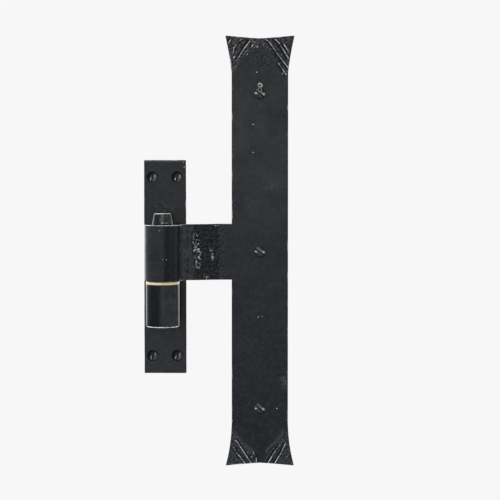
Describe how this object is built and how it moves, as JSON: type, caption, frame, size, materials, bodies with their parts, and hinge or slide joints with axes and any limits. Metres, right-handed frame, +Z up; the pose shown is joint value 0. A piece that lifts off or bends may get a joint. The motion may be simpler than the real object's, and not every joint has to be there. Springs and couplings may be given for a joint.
{
  "type": "door hinge",
  "caption": "Black forged lift-off door hinge: a narrow plate with an upright pin carries a rolled-eye leaf, whose cranked arm ends in a tall fishtail strap.",
  "frame": {"origin": "centre of the pintle plate's back face, where it lies on the door frame", "axes": "+Z up along the pin, -Y out of the hinge's front, +Y into the frame and the door, +X towards the strap"},
  "size_m": [0.1067, 0.0517, 0.306],
  "materials": {
    "forged_black": "satin black paint over forged iron",
    "turned_black": "gloss black paint over turned iron",
    "screw_black": "black, worn along the slot",
    "brass": "turned, lightly tarnished"
  },
  "bodies": {
    "pintle": {"pintle_plate": "forged_black", "pintle_boss": "turned_black", "hinge_pin": "turned_black", "plate_screw_1": "screw_black", "plate_screw_2": "screw_black", "plate_screw_3": "screw_black", "plate_screw_4": "screw_black"},
    "washer": {"thrust_washer": "brass"},
    "leaf": {"eye_and_arm": "forged_black", "strap": "forged_black", "strap_screw_1": "screw_black", "strap_screw_2": "screw_black", "strap_screw_3": "screw_black"}
  },
  "joints": [
    {"name": "leaf_swing", "type": "hinge", "parent": "pintle", "child": "washer", "pos_m": [-0.0012, -0.01858, -0.0103], "axis": [0, 0, -1], "range_deg": [0, 180]},
    {"name": "leaf_lift", "type": "slide", "parent": "washer", "child": "leaf", "axis": [0, 0, 1], "range_m": [0, 0.052]}
  ]
}
